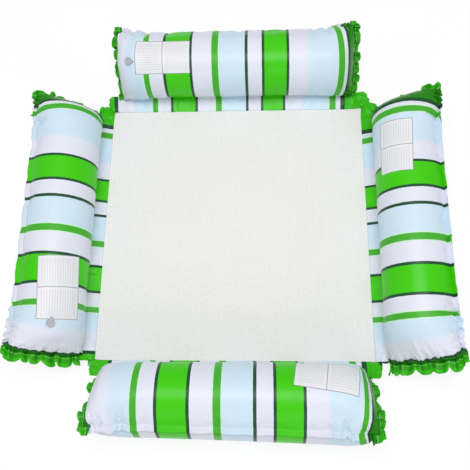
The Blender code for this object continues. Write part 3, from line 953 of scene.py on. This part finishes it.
class Nodes:
    """Short calls that add nodes to a material or world and link them."""

    def __init__(self, owner):
        owner.use_nodes = True
        self.owner = owner
        self.tree = owner.node_tree
        self.shader = self.tree.nodes.get("Principled BSDF")

    def add(self, kind, **values):
        node = self.tree.nodes.new(kind)
        for key, value in values.items():
            setattr(node, key, value)
        return node

    def put(self, socket, value):
        if isinstance(value, bpy.types.NodeSocket):
            self.tree.links.new(value, socket)
        else:
            socket.default_value = value

    def math(self, operation, a, b=0.0, c=0.0, clamp=False):
        node = self.add("ShaderNodeMath", operation=operation, use_clamp=clamp)
        for socket, value in zip(node.inputs, (a, b, c)):
            self.put(socket, value)
        return node.outputs[0]

    def mix(self, share, a, b):
        node = self.add("ShaderNodeMix", data_type="RGBA")
        for socket, value in ((node.inputs[0], share), (node.inputs[6], a), (node.inputs[7], b)):
            self.put(socket, value if isinstance(value, (bpy.types.NodeSocket, float)) else (*value, 1.0))
        return node.outputs[2]

    def within(self, value, low, high):
        above = self.math("GREATER_THAN", value, low)
        below = self.math("LESS_THAN", value, high)
        return self.math("MULTIPLY", above, below)

    def chain(self, operation, result, *values):
        """The same operation with each of several values in turn."""
        for value in values:
            result = self.math(operation, result, value)
        return result

    def ramp(self, value, stops):
        """Colours that change evenly from each stop to the next."""
        node = self.add("ShaderNodeValToRGB")
        elements = node.color_ramp.elements
        node.color_ramp.interpolation = "LINEAR"
        while len(elements) > 1:
            elements.remove(elements[-1])
        elements[0].position = stops[0][0]
        for place, _ in stops[1:]:
            elements.new(place)
        for element, (_, colour) in zip(elements, stops):
            element.color = (*colour, 1.0)
        self.put(node.inputs[0], value)
        return node.outputs[0]

    def noise(self, place, scale, detail=2.0):
        node = self.add("ShaderNodeTexNoise")
        node.inputs["Scale"].default_value = scale
        node.inputs["Detail"].default_value = detail
        self.put(node.inputs["Vector"], place)
        return node.outputs[0]

    def flat_place(self):
        """The place on the flat film or mesh, in metres, whole and as its two parts."""
        place = self.add("ShaderNodeUVMap", uv_map="print").outputs[0]
        split = self.add("ShaderNodeSeparateXYZ")
        self.put(split.inputs[0], place)
        return place, split.outputs[0], split.outputs[1]

    def paint(self, colour, tone):
        """Sets the base colour, made lighter or darker by a tone."""
        scale = self.add("ShaderNodeVectorMath", operation="SCALE")
        self.put(scale.inputs[0], colour)
        self.put(scale.inputs[3], tone)
        self.put(self.shader.inputs["Base Color"], scale.outputs[0])

    def bump(self, height, strength):
        node = self.add("ShaderNodeBump")
        node.inputs["Strength"].default_value = strength
        node.inputs["Distance"].default_value = 1.0
        self.put(node.inputs["Height"], height)
        self.put(self.shader.inputs["Normal"], node.outputs[0])


PAPER = (0.86, 0.86, 0.89)
PAPER_LINE = (0.40, 0.41, 0.45)
PAPER_BORDER = (0.22, 0.23, 0.27)
BORDER_WIDTH = 0.0011
RULE_HALF = 0.0006
LINE_PITCH = 0.0052
LINE_BAND = (0.30, 0.55)
LINE_STRENGTH = 0.34
LINE_END_MARGIN = 0.0055
LINE_SIDE_MARGIN = 0.006


def label_panel(n, colour, u, v, label):
    """A bare white panel with a thin border, a middle rule and faint ruled lines."""
    middle_u, middle_v, length, width, turn = label
    c, s = math.cos(math.radians(turn)), math.sin(math.radians(turn))
    du = n.math("SUBTRACT", u, middle_u)
    dv = n.math("SUBTRACT", v, middle_v)
    along = n.math("ADD", n.math("MULTIPLY", du, c), n.math("MULTIPLY", dv, s))
    across = n.math("SUBTRACT", n.math("MULTIPLY", dv, c), n.math("MULTIPLY", du, s))

    def inside(margin):
        in_length = n.within(along, margin - length / 2, length / 2 - margin)
        return n.math("MULTIPLY", in_length, n.within(across, margin - width / 2, width / 2 - margin))

    rule = n.within(along, -RULE_HALF, RULE_HALF)
    face = n.math("MULTIPLY", inside(BORDER_WIDTH), n.math("SUBTRACT", 1.0, rule))
    row = n.math("FRACT", n.math("MULTIPLY", across, 1 / LINE_PITCH))
    column = n.math("ABSOLUTE", n.math("SUBTRACT", n.math("ABSOLUTE", along), length / 4))
    in_column = n.math("LESS_THAN", column, length / 4 - LINE_END_MARGIN)
    in_height = n.within(across, LINE_SIDE_MARGIN - width / 2, width / 2 - LINE_SIDE_MARGIN)
    lines = n.chain("MULTIPLY", n.within(row, *LINE_BAND), in_column, in_height)
    paper = n.mix(n.math("MULTIPLY", lines, LINE_STRENGTH), PAPER, PAPER_LINE)
    return n.mix(inside(0.0), colour, n.mix(face, PAPER_BORDER, paper))


CLOUD_SCALE = 14.0
CLOUD_DETAIL = 3.0
CLOUD_TONE = 0.06
DARKEST_TONE = 0.97
FILM_ROUGHNESS = 0.27
ROUGHNESS_CHANGE = 0.10
FILM_SPECULAR = 0.20
GRAIN_SCALE = 260.0
GRAIN_HEIGHT = 0.00003
CREASE_STRETCH = (9.0, 60.0, 1.0)
CREASE_HEIGHT = 0.0004
BASE_RING_RADIUS = 0.0185
BASE_RING_STEEPNESS = 900.0
BASE_RING_HEIGHT = 0.00025
FILM_BUMP = 0.35


def stripes_and_end_shade(n, u, first_line, has_end_wall):
    """The stripes over their wash. The painted shade of the end wall and the frill, with the weld line
    between, shows only where there is an end wall.
    """
    share = n.math("MULTIPLY_ADD", u, 1 / (2 * WASH_HALF), 0.5)
    wash = n.ramp(share, [(0.5 + p / (2 * WASH_HALF), c) for p, c in WASHES])
    start = (
        (START_FRILL, FRILL_SHADE_GREEN), (START_WELD, WELD_GREEN), (START_WALL, WALL_SHADE_GREEN),
        (first_line - END_LINE, DARK), (first_line, None),
    )
    colour = END_GREEN
    for edge, paint in start + BANDS:
        # Without an end wall, the painted shade and the weld line give way to the end green
        if not has_end_wall and paint in (WALL_SHADE_GREEN, WELD_GREEN, FRILL_SHADE_GREEN):
            paint = END_GREEN
        colour = n.mix(n.math("GREATER_THAN", u, edge), colour, paint or wash)
    return colour


def valve_ring(n, u, v, valve_uv):
    """The low ring that the valve's welded base presses into the film."""
    du = n.math("SUBTRACT", u, float(valve_uv[0]))
    dv = n.math("SUBTRACT", v, float(valve_uv[1]))
    apart = n.math("SQRT", n.math("ADD", n.math("MULTIPLY", du, du), n.math("MULTIPLY", dv, dv)))
    away = n.math("ABSOLUTE", n.math("SUBTRACT", apart, BASE_RING_RADIUS))
    ring = n.math("SUBTRACT", 1.0, n.math("MULTIPLY", away, BASE_RING_STEEPNESS), clamp=True)
    return n.math("MULTIPLY", ring, BASE_RING_HEIGHT)


def film_material(name, first_line, label=None, valve_uv=None):
    """Satin film with the printed stripes and painted shade at its ends, a blank label panel and the valve's
    ring.
    """
    n = Nodes(bpy.data.materials.new(name))
    place, u, v = n.flat_place()
    colour = stripes_and_end_shade(n, u, first_line, label is not None)
    if label:
        colour = label_panel(n, colour, u, v, label)
    cloud = n.noise(place, CLOUD_SCALE, CLOUD_DETAIL)
    n.paint(colour, n.math("MULTIPLY_ADD", cloud, CLOUD_TONE, DARKEST_TONE))
    n.put(n.shader.inputs["Roughness"], n.math("MULTIPLY_ADD", cloud, ROUGHNESS_CHANGE, FILM_ROUGHNESS))
    n.shader.inputs["Specular IOR Level"].default_value = FILM_SPECULAR
    stretch = n.add("ShaderNodeMapping")
    stretch.inputs["Scale"].default_value = CREASE_STRETCH
    n.put(stretch.inputs[0], place)
    grain = n.math("MULTIPLY", n.noise(place, GRAIN_SCALE), GRAIN_HEIGHT)
    crease = n.math("MULTIPLY", n.noise(stretch.outputs[0], 1.0), CREASE_HEIGHT)
    height = n.math("ADD", grain, crease)
    if valve_uv:
        height = n.math("ADD", height, valve_ring(n, u, v, valve_uv))
    n.bump(height, FILM_BUMP)
    return n.owner


NET_WHITE = (0.91, 0.895, 0.885)
NET_PITCHES = (0.0030, 0.0026)
NET_SCALE = 160.0
NET_DETAIL = 4.0
NET_BROAD_SCALE = 9.0
NET_LIGHTEST = 1.14
NET_HOLE_DEPTH = -0.00022
NET_CLOUD_HEIGHT = 0.0003
NET_BUMP = 0.5
NET_ROUGHNESS = 0.85
NET_SHEEN = 0.15

# How much the holes, their columns, the fine cloud and the broad one darken the mesh
NET_TONES = (0.075, 0.02, 0.16, 0.05)


def net_material():
    """Fine knitted mesh with rows of small holes."""
    n = Nodes(bpy.data.materials.new("net"))
    place, u, v = n.flat_place()
    x = n.math("MULTIPLY", u, math.tau / NET_PITCHES[0])
    y = n.math("MULTIPLY", v, math.tau / NET_PITCHES[1])
    cells = n.math("MULTIPLY", n.math("SINE", x), n.math("SINE", y))
    columns = n.math("SINE", n.math("MULTIPLY", x, 0.5))
    cloud = n.noise(place, NET_SCALE, NET_DETAIL)
    broad = n.noise(place, NET_BROAD_SCALE)
    hole = n.math("MULTIPLY_ADD", cells, 0.5, 0.5)
    parts = zip((hole, columns, cloud, broad), NET_TONES)
    tone = n.chain("ADD", *(n.math("MULTIPLY", part, share) for part, share in parts))
    n.paint(NET_WHITE, n.math("SUBTRACT", NET_LIGHTEST, tone))
    n.shader.inputs["Roughness"].default_value = NET_ROUGHNESS
    n.shader.inputs["Sheen Weight"].default_value = NET_SHEEN
    holes = n.math("MULTIPLY", cells, NET_HOLE_DEPTH)
    n.bump(n.math("ADD", holes, n.math("MULTIPLY", cloud, NET_CLOUD_HEIGHT)), NET_BUMP)
    return n.owner


VALVE_GREYS = ((0.42, 0.43, 0.47), (0.52, 0.53, 0.57))
VALVE_SCALE = 220.0
VALVE_ROUGHNESS = 0.32
VALVE_ROUGHNESS_CHANGE = 0.2
VALVE_SUBSURFACE = 0.15
VALVE_SCATTER = 0.002


def valve_material():
    """Soft grey plastic that lets a little light in."""
    n = Nodes(bpy.data.materials.new("valve_plastic"))
    cloud = n.noise(n.add("ShaderNodeTexCoord").outputs["Object"], VALVE_SCALE)
    n.put(n.shader.inputs["Base Color"], n.mix(cloud, *VALVE_GREYS))
    rough = n.math("MULTIPLY_ADD", cloud, VALVE_ROUGHNESS_CHANGE, VALVE_ROUGHNESS)
    n.put(n.shader.inputs["Roughness"], rough)
    n.shader.inputs["Subsurface Weight"].default_value = VALVE_SUBSURFACE
    n.shader.inputs["Subsurface Radius"].default_value = (VALVE_SCATTER,) * 3
    return n.owner


# Stage, lamps and camera

FLOOR_HALF = 9.0
FLOOR_DROP = 0.0002
FLOOR_GREY = (0.93, 0.93, 0.93, 1)
PURE_WHITE = (1, 1, 1, 1)
FLOOR_GLOW = 1.05
FLOOR_GLOW_SHARE = 0.80
WORLD_LIGHT = 0.42
WORLD_SEEN = 1.0

# Each lamp's name, place, size and power, and where both aim
LAMPS = (
    ("top", (0.0, 0.04, 2.2), (1.3, 0.9), 25.0),
    ("front", (0.3, -2.2, 1.5), (1.8, 0.8), 8.0),
)
LAMP_AIM = Vector((0.0, 0.0, 0.0))

# Elevation, azimuth and roll in degrees, and the focal length as pixels of the photo's width
CAMERA_ANGLES = (72.05, 9.63, -9.45)
CAMERA_AIM = (0.0, -0.015, 0.0)
CAMERA_DISTANCE = 1.352
FOCAL_PIXELS = 595.7
PHOTO_PIXELS = 470.0
SENSOR_WIDTH = 36.0


def floor_material():
    """A pale floor that is near white to the camera and still shows the shadow."""
    n = Nodes(bpy.data.materials.new("floor"))
    n.tree.nodes.remove(n.shader)
    path = n.add("ShaderNodeLightPath").outputs
    seen = n.chain("MAXIMUM", path["Is Camera Ray"], path["Is Glossy Ray"], path["Is Transmission Ray"])
    cloth = n.add("ShaderNodeBsdfDiffuse")
    cloth.inputs[0].default_value = FLOOR_GREY
    glow = n.add("ShaderNodeEmission")
    glow.inputs[0].default_value = PURE_WHITE
    glow.inputs[1].default_value = FLOOR_GLOW
    mix = n.add("ShaderNodeMixShader")
    n.put(mix.inputs[0], n.math("MULTIPLY", seen, FLOOR_GLOW_SHARE))
    n.put(mix.inputs[1], cloth.outputs[0])
    n.put(mix.inputs[2], glow.outputs[0])
    n.put(n.tree.nodes["Material Output"].inputs[0], mix.outputs[0])
    return n.owner


def stage():
    """The floor, and a white world that lights less than it shows."""
    corners = [(-FLOOR_HALF, -FLOOR_HALF, 0), (FLOOR_HALF, -FLOOR_HALF, 0),
               (FLOOR_HALF, FLOOR_HALF, 0), (-FLOOR_HALF, FLOOR_HALF, 0)]
    mesh = plain_mesh("floor", corners, [(0, 1, 2, 3)])
    floor = add_object("floor", mesh)
    floor.location.z = -FLOOR_DROP
    mesh.materials.append(floor_material())
    n = Nodes(bpy.data.worlds.new("studio"))
    bpy.context.scene.world = n.owner
    back = n.tree.nodes["Background"]
    back.inputs[0].default_value = PURE_WHITE
    path = n.add("ShaderNodeLightPath").outputs
    level = n.add("ShaderNodeMapRange")
    n.put(level.inputs[0], n.math("MAXIMUM", path["Is Camera Ray"], path["Is Transmission Ray"]))
    level.inputs[3].default_value = WORLD_LIGHT
    level.inputs[4].default_value = WORLD_SEEN
    n.put(back.inputs[1], level.outputs[0])


def lamp(name, place, size, power):
    """A soft rectangular lamp that aims at the middle of the floor."""
    light = bpy.data.lights.new(name, "AREA")
    light.shape = "RECTANGLE"
    light.size, light.size_y = size
    light.energy = power
    item = add_object(name, light)
    item.location = place
    item.rotation_euler = (LAMP_AIM - Vector(place)).to_track_quat("-Z", "Y").to_euler()


def camera():
    """The camera at the photo's place, fitted to it."""
    elevation, azimuth, roll = (math.radians(a) for a in CAMERA_ANGLES)
    level = math.cos(elevation)
    back = Vector((math.sin(azimuth) * level, -math.cos(azimuth) * level, math.sin(elevation)))
    right = Vector((math.cos(azimuth), math.sin(azimuth), 0.0))
    up = back.cross(right)
    rolled_right = right * math.cos(roll) + up * math.sin(roll)
    rolled_up = up * math.cos(roll) - right * math.sin(roll)
    data = bpy.data.cameras.new("camera")
    data.sensor_width = SENSOR_WIDTH
    data.lens = FOCAL_PIXELS / PHOTO_PIXELS * data.sensor_width
    item = add_object("camera", data)
    turn = Matrix((rolled_right, rolled_up, back)).transposed().to_4x4()
    turn.translation = Vector(CAMERA_AIM) + back * CAMERA_DISTANCE
    item.matrix_world = turn
    bpy.context.scene.camera = item


def main():
    camera()
    stage()
    for values in LAMPS:
        lamp(*values)
    mesh_cloth()
    plain = film_material("skirt_film", SKIRT_FIRST_LINE)
    plastic = valve_material()
    for k, side in enumerate(SIDES):
        seed = 100 * k
        pillow(side, seed)
        skirt(side, plain, seed)
        under_skirt(side, plain)
        valve(side, plastic)
    bpy.context.scene.view_settings.view_transform = "Standard"


main()
